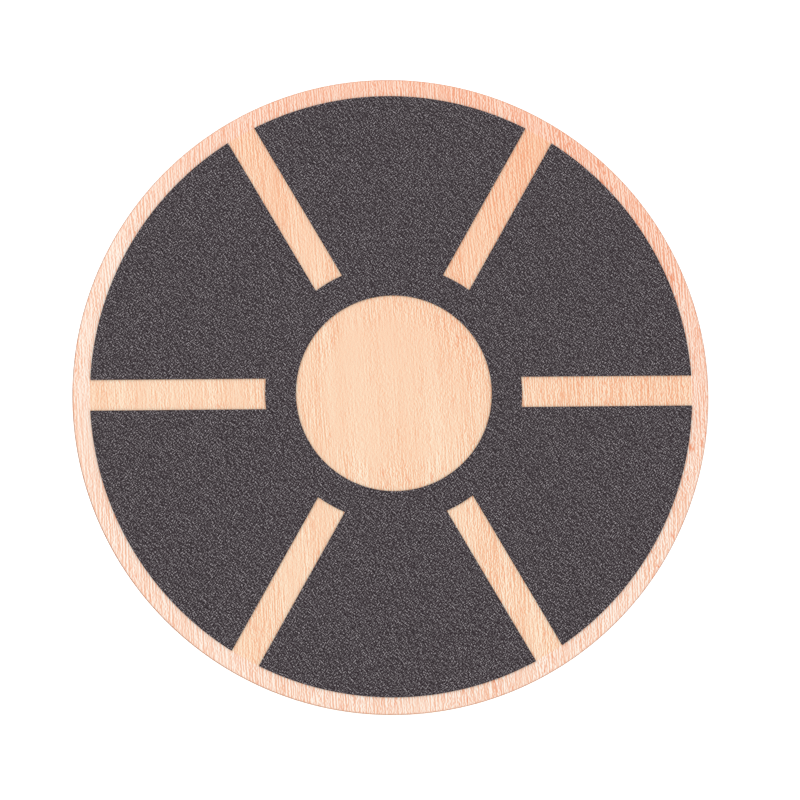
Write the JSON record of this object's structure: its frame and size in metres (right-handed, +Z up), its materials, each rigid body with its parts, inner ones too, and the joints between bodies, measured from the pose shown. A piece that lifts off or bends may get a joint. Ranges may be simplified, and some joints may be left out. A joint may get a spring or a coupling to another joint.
{
  "type": "balance board",
  "caption": "Round wooden wobble board: a plywood deck with a clear film and a black spoked grip layer, on a ribbed plastic dome with a rubber foot pad, for balance exercise.",
  "frame": {"origin": "middle of the foot pad's flat, where the board stands, on the axis of the deck", "axes": "+Z up, square to the deck; +Y along the face veneers' grain; +X along one of the grip layer's spokes"},
  "size_m": [0.4, 0.4, 0.076],
  "materials": {
    "face_wood": "sanded, clear satin lacquer, pale pink-peach face veneer with short straight pores",
    "long_core_wood": "sanded veneer edge, grain along Y",
    "cross_core_wood": "sanded veneer edge, grain along X",
    "clear_film": "clear satin film, faintly yellow",
    "black_grip": "matt charcoal grit with fine sparkle",
    "black_abs": "fine spark-eroded moulding texture, black",
    "pad_rubber": "matt moulded rubber, grooved",
    "screw_steel": "zinc plated"
  },
  "bodies": {
    "root": {"face_veneer_bottom": "face_wood", "core_ply_1": "cross_core_wood", "core_ply_2": "long_core_wood", "core_ply_3": "cross_core_wood", "core_ply_4": "long_core_wood", "core_ply_5": "cross_core_wood", "core_ply_6": "long_core_wood", "core_ply_7": "cross_core_wood", "core_ply_8": "long_core_wood", "core_ply_9": "cross_core_wood", "face_veneer_top": "face_wood", "clear_film": "clear_film", "grip_layer": "black_grip", "fulcrum_dome": "black_abs", "foot_pad": "pad_rubber", "fulcrum_screw_1": "screw_steel", "fulcrum_screw_2": "screw_steel", "fulcrum_screw_3": "screw_steel", "fulcrum_screw_4": "screw_steel", "fulcrum_screw_5": "screw_steel", "fulcrum_screw_6": "screw_steel", "fulcrum_screw_7": "screw_steel", "fulcrum_screw_8": "screw_steel"}
  },
  "joints": []
}
